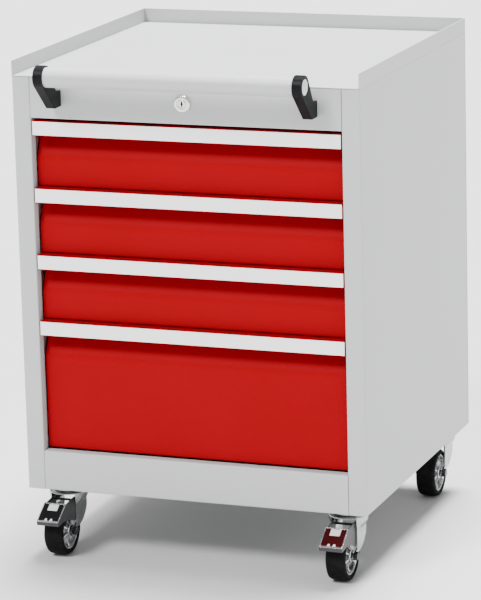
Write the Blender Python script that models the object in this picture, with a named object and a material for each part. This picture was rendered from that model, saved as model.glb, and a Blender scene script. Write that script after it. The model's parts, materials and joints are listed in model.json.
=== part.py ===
"""Mobile drawer cabinet: a folded sheet-steel carcass with four drawers on full-extension
slides, a push handle, a central lock and four swivel castors.

Metres, +Z up. The front faces -Y, and the floor is z = 0. The origin is the middle of the
whole cabinet's footprint, push handle included.
"""
import math

import bmesh
import bpy
from mathutils import Vector

# ---------------------------------------------------------------- driving dimensions
WIDTH = 0.532                 # carcass, across the side panels
DEPTH = 0.512                 # carcass, front face to back face
RIM_TOP = 0.750               # upper edge of the rim round the worktop
WORKTOP = 0.7285              # the surface that tools lie on
BODY_BOTTOM = 0.104           # lower edge of the carcass, which is the castors' height
SHEET = 0.0015                # steel sheet
GAP = 0.0003                  # between touching parts
STILE_WIDTH = 0.0275          # front fold of a side panel
FOLD_DEPTH = 0.015            # how far the front folds run back
REAR_FLANGE = 0.018
OPENING_TOP = 0.6666
OPENING_BOTTOM = 0.164

TUBE_RADIUS = 0.0145
TUBE_WALL = 0.0015
TUBE_HEIGHT = 0.7365
TUBE_FROM_FACE = 0.050
BRACKET_CENTRE_X = 0.196
BRACKET_WIDTH = 0.0145
RING_RADIUS = 0.017
RING_CLEARANCE = 0.0003
FOOT_BOTTOM = 0.686
FOOT_TOP = 0.7095
FOOT_DEPTH = 0.022
NECK_DEPTH = 0.016            # foot's upper corner, where the ring's back runs into it
NECK_LIFT = 0.001
CAP_FLANGE = 0.0015
CAP_STEM = 0.008
CAP_CHAMFER = (0.001, 0.0003)

LOCK_HEIGHT = 0.697
BEZEL_RADIUS = 0.0125
BEZEL_DEPTH = 0.0045
BARREL_RADIUS = 0.009
BARREL_LENGTH = 0.022         # behind the fascia's face
PLUG_RADIUS = 0.006
PLUG_END = 0.026
CAM_THICKNESS = 0.002
CAM_LENGTH = 0.022
CAM_ROOT = 0.008
CAM_TIP = 0.0055
KEYWAY = (0.0014, 0.0084, 0.010)                # width, height, depth

TOP_STRIP_TOP = 0.6615
DRAWER_PITCHES = (0.100, 0.100, 0.100, 0.1975)
SLIDE_DROPS = (0.058, 0.058, 0.058, 0.120)      # slide's middle below the strip's top edge
FRONT_GAP = 0.002             # round each drawer front
STRIP_HEIGHT = 0.020
STRIP_THICKNESS = 0.002
STRIP_CHAMFER = 0.0006
CARRIER_DROP = 0.0012         # red fold behind the strip, below the strip's lower edge
FACE_SETBACK = 0.015          # red face behind the strip's face
RECESS_DEPTH = 0.0295         # finger recess behind the strip's face
RECESS_TOP = 0.023            # below the strip's top edge
RECESS_BOTTOM = 0.054
RECESS_STEPS = 6
BOTTOM_FOLD = 0.012
PAN_FRONT = 0.0325            # behind the cabinet's face
PAN_LENGTH = 0.430
PAN_HALF_WIDTH = 0.224
PAN_FLOOR_LIFT = 0.006
PAN_TOP_DROP = 0.012

SLIDE_START = 0.050
SLIDE_LENGTH = 0.400
SLIDE_SHEET = 0.0012
WELD = 0.0005                 # how far joined shapes reach into each other
RAIL_HALF_HEIGHT = 0.018
RAIL_REACH = 0.011
RAIL_WEB = 0.003
FLOAT_HALF_HEIGHT = 0.016
FLOAT_STANDOFF = 0.0033       # from the runner panel's face
FLOAT_REACH = 0.0087
MEMBER_HALF_HEIGHT = 0.014
MEMBER_REACH = 0.009
RUNNER_FACE_X = WIDTH / 2 - STILE_WIDTH

LOCK_BAR_X = 0.2362
LOCK_BAR_WIDTH = 0.012
LOCK_BAR_FRONT = 0.034
LOCK_BAR_SHEET = 0.0015
LOCK_TAB_LIFT = 0.031
LOCK_LUG_LIFT = 0.0225
LOCK_LUG_HEIGHT = 0.006
LOCK_LUG_LENGTH = 0.004
LOCK_LUG_REACH = 0.0085
LOCK_LUG_CLEARANCE = 0.0025   # behind the bar
LOCK_ARM = (0.676, 0.690)
LOCK_ARM_END = -0.008         # the arm passes under the lock's cam
LOCK_TAB_START = 0.0022       # beside the drawer's pan

CASTOR_X = 0.222
FRONT_KINGPIN = 0.0475        # behind the cabinet's face
REAR_KINGPIN = 0.030          # ahead of the cabinet's back
TRAIL = 0.030                 # the axle sits this far ahead of the kingpin
WHEEL_RADIUS = 0.0375
TYRE_WIDTH = 0.030
RIM_RADIUS = 0.0292
PLATE_SIZE = 0.060
PLATE_THICKNESS = 0.0025
PLATE_CORNER = 0.006
RACE_RADIUS = 0.022
RACE_DROP = 0.004
RACE_CLEARANCE = 0.001
KINGPIN_RADIUS = 0.005
KINGPIN_HEAD = 0.009
CROWN_TOP = 0.0935
CROWN_THICKNESS = 0.0025
CROWN_RADIUS = 0.029
LEG_INSIDE = 0.0170
LEG_THICKNESS = 0.0024
LEG_FRONT = ((0.0115, CROWN_TOP), (0.0115, 0.0480))                   # from the axle
LEG_REAR = ((0.009, 0.057), (0.0, 0.068), (0.0, CROWN_TOP))           # from the rear edge
LEG_HEEL = (0.002, 0.043)
AXLE_EYE = 0.0095
SKIRT_BOTTOM = 0.079          # the crown's rim, open over the wheel's front
SKIRT_OPENING = 42            # degrees to each side of straight ahead
AXLE_SHANK = 0.004
AXLE_HEAD = 0.0068
AXLE_HEAD_LENGTH = 0.0045
PEDAL_PIVOT = (0.012, 0.081)  # behind the axle, above the floor
PEDAL_HALF_WIDTH = 0.0175
PEDAL_SHEET = 0.002
PEDAL_FRONT_EDGE = (-0.0525, 0.064)
PEDAL_REAR_EDGE = (-0.0215, 0.084)
PEDAL_LIP = (0.001, -0.006)
PEDAL_PIN = 0.002
PEDAL_CHEEK = ((-0.0495, 0.063), (-0.0225, 0.083), (0.012, 0.0865), (0.0175, 0.081),
               (0.0150, 0.0485), (0.0080, 0.0500), (-0.012, 0.0570), (-0.031, 0.0595),
               (-0.048, 0.0575))
PEDAL_CHEEK_FACES = (0.0153, 0.0167)                                  # from the middle

ROUND = 24
WHEEL_SEGMENTS = 24

FRONT = -(DEPTH - TUBE_FROM_FACE - RING_RADIUS) / 2
BACK = FRONT + DEPTH
HALF = WIDTH / 2


# ---------------------------------------------------------------- materials
def make_material(name, colour, roughness, metallic):
    material = bpy.data.materials.new(name)
    material.use_nodes = True
    shader = material.node_tree.nodes["Principled BSDF"]
    shader.inputs["Base Color"].default_value = (*colour, 1.0)
    shader.inputs["Roughness"].default_value = roughness
    shader.inputs["Metallic"].default_value = metallic
    return material


def make_materials():
    return {
        "grey_paint": make_material("grey_paint", (0.60, 0.61, 0.605), 0.45, 0.0),
        "red_paint": make_material("red_paint", (0.52, 0.012, 0.010), 0.40, 0.0),
        "strip": make_material("strip", (0.74, 0.76, 0.75), 0.35, 0.1),
        "black_plastic": make_material("black_plastic", (0.010, 0.010, 0.011), 0.45, 0.0),
        "pale_plastic": make_material("pale_plastic", (0.66, 0.67, 0.67), 0.45, 0.0),
        "galvanised": make_material("galvanised", (0.55, 0.56, 0.57), 0.35, 1.0),
        "zinc": make_material("zinc", (0.66, 0.67, 0.68), 0.25, 1.0),
        "nickel": make_material("nickel", (0.72, 0.71, 0.69), 0.22, 1.0),
        "cast_aluminium": make_material("cast_aluminium", (0.70, 0.70, 0.71), 0.35, 1.0),
        "rubber": make_material("rubber", (0.012, 0.012, 0.013), 0.60, 0.0),
        "dark_steel": make_material("dark_steel", (0.20, 0.20, 0.21), 0.40, 1.0),
    }


# ---------------------------------------------------------------- mesh tools
def add_prism(bm, outline, to_point, start, end):
    """A solid between two copies of an outline; to_point(u, v, w) gives a point in space."""
    first = [bm.verts.new(to_point(u, v, start)) for u, v in outline]
    last = [bm.verts.new(to_point(u, v, end)) for u, v in outline]
    faces = [bm.faces.new(first), bm.faces.new(last[::-1])]
    for i in range(len(outline)):
        j = (i + 1) % len(outline)
        faces.append(bm.faces.new((first[i], last[i], last[j], first[j])))
    bmesh.ops.recalc_face_normals(bm, faces=faces)


def along_x(u, v, w):
    return (w, u, v)


def along_y(u, v, w):
    return (u, w, v)


def along_z(u, v, w):
    return (u, v, w)


def add_box(bm, low, high):
    outline = ((low[0], low[1]), (high[0], low[1]), (high[0], high[1]), (low[0], high[1]))
    add_prism(bm, outline, along_z, low[2], high[2])


def add_turned(bm, profile, to_point, segments, ring=False):
    """A turned solid from (radius, height) points; a ring's profile closes on itself."""
    loops = []
    for radius, height in profile:
        loop = []
        for i in range(segments):
            angle = 2 * math.pi * i / segments
            loop.append(bm.verts.new(to_point(radius * math.cos(angle),
                                              radius * math.sin(angle), height)))
        loops.append(loop)
    faces = []
    pairs = list(zip(loops, loops[1:]))
    if ring:
        pairs.append((loops[-1], loops[0]))
    else:
        faces += [bm.faces.new(loops[0]), bm.faces.new(loops[-1][::-1])]
    for lower, upper in pairs:
        for i in range(segments):
            j = (i + 1) % segments
            faces.append(bm.faces.new((lower[i], lower[j], upper[j], upper[i])))
    bmesh.ops.recalc_face_normals(bm, faces=faces)


def folded_outline(path, thickness):
    """The closed outline of a sheet whose one side follows the path, with mitred folds."""
    points = [Vector(p) for p in path]
    normals = []
    for a, b in zip(points, points[1:]):
        along = (b - a).normalized()
        normals.append(Vector((along.y, -along.x)))
    other = [points[0] + normals[0] * thickness]
    for i in range(1, len(points) - 1):
        bisector = normals[i - 1] + normals[i]
        other.append(points[i] + bisector * (thickness / (1 + normals[i - 1].dot(normals[i]))))
    other.append(points[-1] + normals[-1] * thickness)
    return [tuple(p) for p in points + other[::-1]]


def arc(centre, radius, start, end, steps):
    """Points on a circle, from one angle to another in degrees."""
    points = []
    for i in range(steps + 1):
        angle = math.radians(start + (end - start) * i / steps)
        points.append((centre[0] + radius * math.cos(angle),
                       centre[1] + radius * math.sin(angle)))
    return points


def make_mesh(name, build):
    bm = bmesh.new()
    build(bm)
    mesh = bpy.data.meshes.new(name)
    bm.to_mesh(mesh)
    bm.free()
    return mesh


def add_object(name, mesh, material, parent=None, round_piece=False):
    if not mesh.materials:
        mesh.materials.append(material)
    if round_piece:
        mesh.shade_smooth()
        mesh.set_sharp_from_angle(angle=math.radians(35))
    piece = bpy.data.objects.new(name, mesh)
    piece.parent = parent
    bpy.context.collection.objects.link(piece)
    return piece


def add_operand(name, build, piece, operation):
    """Cuts a guide shape from a piece, or joins it on, and keeps the guide out of sight."""
    guide = bpy.data.objects.new(name, make_mesh(name, build))
    guide.parent = piece.parent
    guide.hide_render = True
    guide.display_type = "WIRE"
    bpy.context.collection.objects.link(guide)
    modifier = piece.modifiers.new(operation.lower(), "BOOLEAN")
    modifier.operation = operation
    modifier.solver = "EXACT"
    modifier.object = guide


def add_empty(name, location, parent=None):
    empty = bpy.data.objects.new(name, None)
    empty.empty_display_size = 0.02
    empty.location = location
    empty.parent = parent
    bpy.context.collection.objects.link(empty)
    return empty


# ---------------------------------------------------------------- carcass
def side_panel(side, materials):
    """A side panel folded round the front stile and, inside the back panel, a rear flange."""
    flange_y = BACK - SHEET - GAP
    path = ((side * (HALF - STILE_WIDTH), FRONT + FOLD_DEPTH),
            (side * (HALF - STILE_WIDTH), FRONT),
            (side * HALF, FRONT),
            (side * HALF, flange_y),
            (side * (HALF - REAR_FLANGE), flange_y))
    outline = folded_outline(path, -side * SHEET)
    folds_top = WORKTOP - SHEET - GAP

    def build(bm):
        add_prism(bm, outline, along_z, BODY_BOTTOM, folds_top)

    def build_rim(bm):
        inner, outer = sorted((side * (HALF - SHEET), side * HALF))
        add_box(bm, (inner, FRONT, folds_top - 2 * WELD), (outer, flange_y, RIM_TOP))

    name = "left_side_panel" if side < 0 else "right_side_panel"
    panel = add_object(name, make_mesh(name, build), materials["grey_paint"])
    add_operand(name + "_rim", build_rim, panel, "UNION")


def back_panel(materials):
    def build(bm):
        add_box(bm, (-HALF, BACK - SHEET, BODY_BOTTOM), (HALF, BACK, RIM_TOP))
    add_object("back_panel", make_mesh("back_panel", build), materials["grey_paint"])


def top_plate(materials):
    """The worktop sheet, which lies on the side panels' folds and on the fascia."""
    inside = HALF - SHEET - GAP

    def build(bm):
        add_box(bm, (-inside, FRONT, WORKTOP - SHEET), (inside, BACK - SHEET - GAP, WORKTOP))
    add_object("top_plate", make_mesh("top_plate", build), materials["grey_paint"])


def bottom_plate(materials):
    """The floor that the castors are bolted to, with flanges folded up at both sides."""
    inside = HALF - SHEET - GAP
    flange = 0.025
    path = ((inside, BODY_BOTTOM + flange), (inside, BODY_BOTTOM),
            (-inside, BODY_BOTTOM), (-inside, BODY_BOTTOM + flange))
    outline = folded_outline(path, SHEET)
    front = FRONT + FOLD_DEPTH + GAP
    back = BACK - 2 * (SHEET + GAP)

    def build(bm):
        add_prism(bm, outline, along_y, front, back)
    add_object("bottom_plate", make_mesh("bottom_plate", build), materials["grey_paint"])


def front_channel(name, low, high, materials):
    """A channel between the stiles, its web in the cabinet's front face."""
    half = HALF - STILE_WIDTH - GAP
    path = ((FRONT + FOLD_DEPTH, low), (FRONT, low), (FRONT, high), (FRONT + FOLD_DEPTH, high))
    outline = folded_outline(path, SHEET)

    def build(bm):
        add_prism(bm, outline, along_x, -half, half)
    return add_object(name, make_mesh(name, build), materials["grey_paint"])


def front_fascia(materials):
    """The channel above the drawers, which carries the push handle and the lock.

    Its upper fold closes the worktop's front edge between the two stiles.
    """
    fascia = front_channel("front_fascia", OPENING_TOP, WORKTOP - SHEET - GAP, materials)

    def lock_hole(bm):
        clearance = 0.0005
        radius = BARREL_RADIUS + clearance
        outline = arc((0, LOCK_HEIGHT), radius, 0, 360 - 360 / ROUND, ROUND - 1)
        add_prism(bm, outline, along_y, FRONT - SHEET, FRONT + 2 * SHEET)
    add_operand("lock_hole", lock_hole, fascia, "DIFFERENCE")


def runner_panel(side, rail_heights, materials):
    """The inner side panel, with the fixed members of four slides welded to it."""
    def build(bm):
        inner, outer = sorted((side * RUNNER_FACE_X, side * (RUNNER_FACE_X + SHEET)))
        add_box(bm, (inner, FRONT + FOLD_DEPTH + 2 * GAP, BODY_BOTTOM + SHEET + GAP),
                (outer, BACK - REAR_FLANGE, OPENING_TOP))

    def build_rails(bm):
        back = RUNNER_FACE_X + WELD
        start = FRONT + SLIDE_START
        for height in rail_heights:
            outline = channel_outline(side, back, back - RAIL_WEB, RUNNER_FACE_X - RAIL_REACH,
                                      RAIL_HALF_HEIGHT, height)
            add_prism(bm, outline, along_y, start, start + SLIDE_LENGTH)

    name = "left_runner_panel" if side < 0 else "right_runner_panel"
    panel = add_object(name, make_mesh(name, build), materials["galvanised"])
    add_operand(name + "_rails", build_rails, panel, "UNION")


def channel_outline(side, back, web, lips, half_height, height):
    """Section of a slide member: a web between two lips that all start from its back."""
    section = ((back, -half_height), (lips, -half_height),
               (lips, SLIDE_SHEET - half_height), (web, SLIDE_SHEET - half_height),
               (web, half_height - SLIDE_SHEET), (lips, half_height - SLIDE_SHEET),
               (lips, half_height), (back, half_height))
    return [(side * x, z + height) for x, z in section]


# ---------------------------------------------------------------- drawers
def drawer_front_outline(height):
    """Section of a drawer front: strip carrier, finger recess, set-back face, bottom fold."""
    carrier_y = STRIP_THICKNESS + GAP
    path = [(carrier_y, -STRIP_HEIGHT - CARRIER_DROP), (carrier_y, -GAP),
            (RECESS_DEPTH + SHEET, -GAP)]
    for i in range(RECESS_STEPS + 1):
        share = i / RECESS_STEPS
        blend = (1 + math.cos(math.pi * share)) / 2
        y = FACE_SETBACK + (RECESS_DEPTH - FACE_SETBACK) * blend + SHEET
        path.append((y, -RECESS_TOP - (RECESS_BOTTOM - RECESS_TOP) * share))
    path.append((FACE_SETBACK + SHEET, -height + SHEET))
    path.append((FACE_SETBACK + BOTTOM_FOLD, -height + SHEET))
    return folded_outline(path, SHEET)


def drawer_front(name, parent, height, materials):
    half = HALF - STILE_WIDTH - FRONT_GAP

    def build(bm):
        add_prism(bm, drawer_front_outline(height), along_x, -half, half)
    mesh = make_mesh(name + "_front", build)
    add_object(name + "_front", mesh, materials["red_paint"], parent)


def handle_strip(name, parent, materials):
    """The grip strip along the drawer's upper edge, its long edges chamfered."""
    half = HALF - STILE_WIDTH - FRONT_GAP
    outline = ((STRIP_CHAMFER, 0), (STRIP_THICKNESS, 0), (STRIP_THICKNESS, -STRIP_HEIGHT),
               (STRIP_CHAMFER, -STRIP_HEIGHT), (0, STRIP_CHAMFER - STRIP_HEIGHT),
               (0, -STRIP_CHAMFER))

    def build(bm):
        add_prism(bm, outline, along_x, -half, half)
    mesh = make_mesh(name + "_handle_strip", build)
    add_object(name + "_handle_strip", mesh, materials["strip"], parent)


def drawer_pan(name, parent, height, slide_drop, materials):
    """The drawer's tray, with the slides' drawer members and the lock's lug on its sides."""
    low = Vector((-PAN_HALF_WIDTH, PAN_FRONT, -height + PAN_FLOOR_LIFT))
    high = Vector((PAN_HALF_WIDTH, PAN_FRONT + PAN_LENGTH, -PAN_TOP_DROP))

    def build(bm):
        add_box(bm, low, high)
        bm.faces.ensure_lookup_table()
        top = max(bm.faces, key=lambda face: face.calc_center_median().z)
        bmesh.ops.inset_region(bm, faces=[top], thickness=SHEET, use_even_offset=True)
        floor = bmesh.ops.extrude_discrete_faces(bm, faces=[top])["faces"][0]
        bmesh.ops.translate(bm, verts=floor.verts[:], vec=(0, 0, low.z + SHEET - high.z))

    def build_members(bm):
        for side in (-1, 1):
            outline = channel_outline(side, PAN_HALF_WIDTH - WELD, PAN_HALF_WIDTH + SLIDE_SHEET,
                                      PAN_HALF_WIDTH + MEMBER_REACH, MEMBER_HALF_HEIGHT,
                                      -slide_drop)
            add_prism(bm, outline, along_y, SLIDE_START, SLIDE_START + SLIDE_LENGTH)
        lug_bottom = LOCK_LUG_LIFT - slide_drop
        lug_front = LOCK_BAR_FRONT + LOCK_BAR_WIDTH + LOCK_LUG_CLEARANCE
        add_box(bm, (PAN_HALF_WIDTH - WELD, lug_front, lug_bottom),
                (PAN_HALF_WIDTH + LOCK_LUG_REACH, lug_front + LOCK_LUG_LENGTH,
                 lug_bottom + LOCK_LUG_HEIGHT))

    mesh = make_mesh(name + "_pan", build)
    pan = add_object(name + "_pan", mesh, materials["grey_paint"], parent)
    add_operand(name + "_members", build_members, pan, "UNION")


def slide_middle_members(name, parent, slide_drop, materials):
    """The left and the right floating member of one drawer's slides."""
    back = RUNNER_FACE_X - FLOAT_STANDOFF
    for side, word in ((-1, "left"), (1, "right")):
        outline = channel_outline(side, back, back - SLIDE_SHEET, back - FLOAT_REACH,
                                  FLOAT_HALF_HEIGHT, -slide_drop)

        def build(bm):
            add_prism(bm, outline, along_y, SLIDE_START, SLIDE_START + SLIDE_LENGTH)
        node = f"{name}_{word}_slide_member"
        add_object(node, make_mesh(node, build), materials["galvanised"], parent)


def make_drawers(materials):
    strip_top = TOP_STRIP_TOP
    rail_heights = []
    for number, (pitch, slide_drop) in enumerate(zip(DRAWER_PITCHES, SLIDE_DROPS), start=1):
        name = f"drawer_{number}"
        height = pitch - FRONT_GAP
        joint = add_empty(name + "_slide", (0, FRONT, strip_top))
        floating = add_empty(name + "_middle_slide", (0, FRONT, strip_top))
        drawer_front(name, joint, height, materials)
        handle_strip(name, joint, materials)
        drawer_pan(name, joint, height, slide_drop, materials)
        slide_middle_members(name, floating, slide_drop, materials)
        rail_heights.append(strip_top - slide_drop)
        strip_top -= pitch
    return rail_heights


# ---------------------------------------------------------------- push handle
def bracket_outline():
    """A ring that runs tangentially down into a foot against the cabinet's face."""
    centre = Vector((-TUBE_FROM_FACE, TUBE_HEIGHT))
    foot_front = Vector((-FOOT_DEPTH, FOOT_BOTTOM))
    inner_corner = Vector((-NECK_DEPTH, FOOT_TOP + NECK_LIFT))

    def tangent_angle(point, sense):
        to_point = point - centre
        spread = math.acos(RING_RADIUS / to_point.length)
        return math.degrees(math.atan2(to_point.y, to_point.x) + sense * spread)

    rear = tangent_angle(inner_corner, 1)
    front = tangent_angle(foot_front, -1) + 360
    outline = [(-GAP, FOOT_TOP), tuple(inner_corner)]
    outline += arc(centre, RING_RADIUS, rear, front, ROUND)
    outline += [tuple(foot_front), (-GAP, FOOT_BOTTOM)]
    return [(y + FRONT, z) for y, z in outline]


def tube_point(u, v, w):
    return (w, FRONT - TUBE_FROM_FACE + u, TUBE_HEIGHT + v)


def handle_tube(end, materials):
    bore = TUBE_RADIUS - TUBE_WALL

    def build(bm):
        profile = ((TUBE_RADIUS, -end), (TUBE_RADIUS, end), (bore, end), (bore, -end))
        add_turned(bm, profile, tube_point, ROUND, ring=True)
    mesh = make_mesh("push_handle_tube", build)
    add_object("push_handle_tube", mesh, materials["grey_paint"], round_piece=True)


def handle_bracket(side, word, end, materials):
    """A moulded bracket, whose ring holds one end of the tube."""
    def build(bm):
        inner, outer = sorted((side * (end - BRACKET_WIDTH), side * end))
        add_prism(bm, bracket_outline(), along_x, inner, outer)

    def build_bore(bm):
        outline = arc((0, 0), TUBE_RADIUS + RING_CLEARANCE, 0, 360 - 360 / ROUND, ROUND - 1)
        add_prism(bm, outline, tube_point, side * (end - 2 * BRACKET_WIDTH),
                  side * (end + BRACKET_WIDTH))

    name = word + "_handle_bracket"
    bracket = add_object(name, make_mesh(name, build), materials["black_plastic"],
                         round_piece=True)
    add_operand(name + "_bore", build_bore, bracket, "DIFFERENCE")


def handle_end_cap(side, word, tube_end, end, materials):
    """A plug in the tube's end, its flange flush with the bracket's outer face."""
    stem = TUBE_RADIUS - TUBE_WALL - GAP
    rim = TUBE_RADIUS - GAP
    edge, bevel = CAP_CHAMFER

    def build(bm):
        profile = ((stem, side * (tube_end - CAP_STEM)), (stem, side * (tube_end + GAP)),
                   (rim, side * (tube_end + GAP)), (rim, side * (end - bevel)),
                   (TUBE_RADIUS - edge, side * end))
        add_turned(bm, profile, tube_point, ROUND)
    name = word + "_handle_end_cap"
    add_object(name, make_mesh(name, build), materials["pale_plastic"], round_piece=True)


def push_handle(materials):
    end = BRACKET_CENTRE_X + BRACKET_WIDTH / 2
    tube_end = end - CAP_FLANGE - GAP
    handle_tube(tube_end, materials)
    for side, word in ((-1, "left"), (1, "right")):
        handle_bracket(side, word, end, materials)
        handle_end_cap(side, word, tube_end, end, materials)


# ---------------------------------------------------------------- lock
def lock(materials):
    """Cylinder lock: a fixed housing, and a plug with its cam that turn about Y."""
    axis = add_empty("lock_axis", (0, FRONT, LOCK_HEIGHT))
    bore = PLUG_RADIUS + GAP
    edge = 0.001

    def build_housing(bm):
        profile = ((bore, -BEZEL_DEPTH), (BEZEL_RADIUS - edge, -BEZEL_DEPTH),
                   (BEZEL_RADIUS, edge - BEZEL_DEPTH), (BEZEL_RADIUS, -GAP),
                   (BARREL_RADIUS, -GAP), (BARREL_RADIUS, BARREL_LENGTH), (bore, BARREL_LENGTH))
        add_turned(bm, profile, along_y, ROUND, ring=True)
    add_object("lock_housing", make_mesh("lock_housing", build_housing), materials["nickel"],
               axis, round_piece=True)

    def build_plug(bm):
        add_turned(bm, ((PLUG_RADIUS, -BEZEL_DEPTH), (PLUG_RADIUS, PLUG_END)), along_y, ROUND)

    def build_keyway(bm):
        width, height, depth = KEYWAY
        add_box(bm, (-width / 2, -2 * BEZEL_DEPTH, -height / 2),
                (width / 2, depth - BEZEL_DEPTH, height / 2))
    plug = add_object("lock_plug", make_mesh("lock_plug", build_plug), materials["nickel"],
                      axis, round_piece=True)
    add_operand("keyway", build_keyway, plug, "DIFFERENCE")

    def build_cam(bm):
        outline = arc((0, 0), CAM_ROOT, 90, 270, 10)
        outline += arc((CAM_LENGTH - CAM_TIP, 0), CAM_TIP, -90, 90, 8)
        start = PLUG_END + GAP
        add_prism(bm, outline, along_y, start, start + CAM_THICKNESS)
    add_object("lock_cam", make_mesh("lock_cam", build_cam), materials["galvanised"], axis)


def lock_bar(rail_heights, materials):
    """The bar that the cam pushes down, so that its tabs stand in front of the drawers' lugs."""
    y = FRONT + LOCK_BAR_FRONT
    arm_low, arm_high = LOCK_ARM
    outer = LOCK_BAR_X + LOCK_BAR_SHEET
    foot = rail_heights[-1]
    slider = add_empty("lock_bar_slide", (0, 0, 0))

    def build(bm):
        add_box(bm, (LOCK_BAR_X, y, foot), (outer, y + LOCK_BAR_WIDTH, arm_high))

    def build_arm(bm):
        add_box(bm, (LOCK_ARM_END, y, arm_low), (outer, y + LOCK_BAR_SHEET, arm_high))
        tab_back = y + LOCK_BAR_WIDTH - LOCK_BAR_SHEET
        for height in rail_heights:
            low = height + LOCK_TAB_LIFT
            add_box(bm, (PAN_HALF_WIDTH + LOCK_TAB_START, tab_back - LOCK_BAR_SHEET, low),
                    (outer, tab_back, low + LOCK_LUG_HEIGHT))

    bar = add_object("lock_bar", make_mesh("lock_bar", build), materials["galvanised"], slider)
    add_operand("lock_bar_arm", build_arm, bar, "UNION")


# ---------------------------------------------------------------- castors
# The swivelling parts' y is measured from the kingpin, and the axle is at y = -TRAIL.
def castor_plate_mesh(name):
    """Square top plate; the ball race and the kingpin are joined on by castor_plate_race."""
    top = BODY_BOTTOM - GAP
    reach = PLATE_SIZE / 2 - PLATE_CORNER
    outline = []
    for start, x, y in ((0, reach, reach), (90, -reach, reach),
                        (180, -reach, -reach), (270, reach, -reach)):
        outline += arc((x, y), PLATE_CORNER, start, start + 90, 3)
    return make_mesh(name, lambda bm: add_prism(bm, outline, along_z, top - PLATE_THICKNESS, top))


def castor_plate_race(bm):
    race_segments = 18
    edge = 0.002
    race_bottom = CROWN_TOP + RACE_CLEARANCE
    head_top = CROWN_TOP - CROWN_THICKNESS - WELD
    profile = ((RACE_RADIUS - edge, BODY_BOTTOM - PLATE_THICKNESS),
               (RACE_RADIUS, race_bottom + RACE_DROP), (RACE_RADIUS, race_bottom),
               (KINGPIN_RADIUS, race_bottom), (KINGPIN_RADIUS, head_top),
               (KINGPIN_HEAD, head_top), (KINGPIN_HEAD, head_top - edge),
               (KINGPIN_HEAD - edge, head_top - 1.5 * edge))
    add_turned(bm, profile, along_z, race_segments)


def leg_outline():
    """One leg of the fork, from the crown forwards and down to the axle's eye."""
    rear = math.sqrt(CROWN_RADIUS ** 2 - (LEG_INSIDE + LEG_THICKNESS) ** 2)
    outline = [(y - TRAIL, z) for y, z in LEG_FRONT]
    outline += arc((-TRAIL, WHEEL_RADIUS), AXLE_EYE, 80, 290, 12)
    outline.append(LEG_HEEL)
    outline += [(rear - y, z) for y, z in LEG_REAR]
    return outline


def castor_fork_crown(bm):
    outline = arc((0, 0), CROWN_RADIUS, 0, 360 - 360 / ROUND, ROUND - 1)
    add_prism(bm, outline, along_z, CROWN_TOP - CROWN_THICKNESS, CROWN_TOP)


def castor_fork_skirt(bm):
    """The crown's rim turned down behind and beside the wheel."""
    start, end = SKIRT_OPENING - 90, 270 - SKIRT_OPENING
    outer, inner = CROWN_RADIUS - WELD, CROWN_RADIUS - WELD - CROWN_THICKNESS
    outline = arc((0, 0), outer, start, end, ROUND) + arc((0, 0), inner, end, start, ROUND)
    add_prism(bm, outline, along_z, SKIRT_BOTTOM, CROWN_TOP - WELD)


def castor_fork_legs(bm):
    for side in (-1, 1):
        inner, outer = sorted((side * LEG_INSIDE, side * (LEG_INSIDE + LEG_THICKNESS)))
        add_prism(bm, leg_outline(), along_x, inner, outer)


def castor_fork_holes(bm):
    axle_hole = AXLE_SHANK + GAP
    pin_hole = KINGPIN_RADIUS + 2 * GAP
    outline = arc((-TRAIL, WHEEL_RADIUS), axle_hole, 0, 330, 11)
    add_prism(bm, outline, along_x, -2 * LEG_INSIDE, 2 * LEG_INSIDE)
    add_prism(bm, arc((0, 0), pin_hole, 0, 330, 11), along_z,
              CROWN_TOP - 2 * CROWN_THICKNESS, CROWN_TOP + CROWN_THICKNESS)


def castor_axle(bm):
    leg_face = LEG_INSIDE + LEG_THICKNESS + GAP
    head_end = leg_face + AXLE_HEAD_LENGTH
    profile = ((AXLE_HEAD, -head_end), (AXLE_HEAD, -leg_face), (AXLE_SHANK, -leg_face),
               (AXLE_SHANK, leg_face), (AXLE_HEAD, leg_face), (AXLE_HEAD, head_end))
    add_turned(bm, profile, along_x, 12)


def castor_hub(bm):
    """Wheel centre: boss, thin web and rim, as one turned ring."""
    bore, boss, boss_end = 0.0045, 0.0095, 0.0148
    web, rim_inside, rim_end = 0.003, 0.0250, 0.0135
    profile = ((bore, -boss_end), (boss, -boss_end), (boss + 0.001, -web), (rim_inside, -web),
               (rim_inside + 0.001, -rim_end), (RIM_RADIUS, -rim_end), (RIM_RADIUS, rim_end),
               (rim_inside + 0.001, rim_end), (rim_inside, web), (boss + 0.001, web),
               (boss, boss_end), (bore, boss_end))
    add_turned(bm, profile, along_x, WHEEL_SEGMENTS, ring=True)


def castor_tyre(bm):
    bore, half = RIM_RADIUS + GAP, TYRE_WIDTH / 2
    shoulder, round_off = 0.0042, 0.0012
    profile = ((bore, -half), (WHEEL_RADIUS - shoulder, -half),
               (WHEEL_RADIUS - round_off, round_off - half), (WHEEL_RADIUS, shoulder - half),
               (WHEEL_RADIUS, half - shoulder), (WHEEL_RADIUS - round_off, half - round_off),
               (WHEEL_RADIUS - shoulder, half), (bore, half))
    add_turned(bm, profile, along_x, WHEEL_SEGMENTS, ring=True)


def to_pedal(point):
    """From (behind the axle, above the floor) to (behind the pivot, above the pivot)."""
    return (point[0] - PEDAL_PIVOT[0], point[1] - PEDAL_PIVOT[1])


def pedal_plate(bm):
    lip = Vector(PEDAL_FRONT_EDGE) + Vector(PEDAL_LIP)
    path = (lip, PEDAL_FRONT_EDGE, PEDAL_REAR_EDGE)
    outline = [to_pedal(p) for p in folded_outline(path, PEDAL_SHEET)]
    add_prism(bm, outline, along_x, -PEDAL_HALF_WIDTH, PEDAL_HALF_WIDTH)


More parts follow.
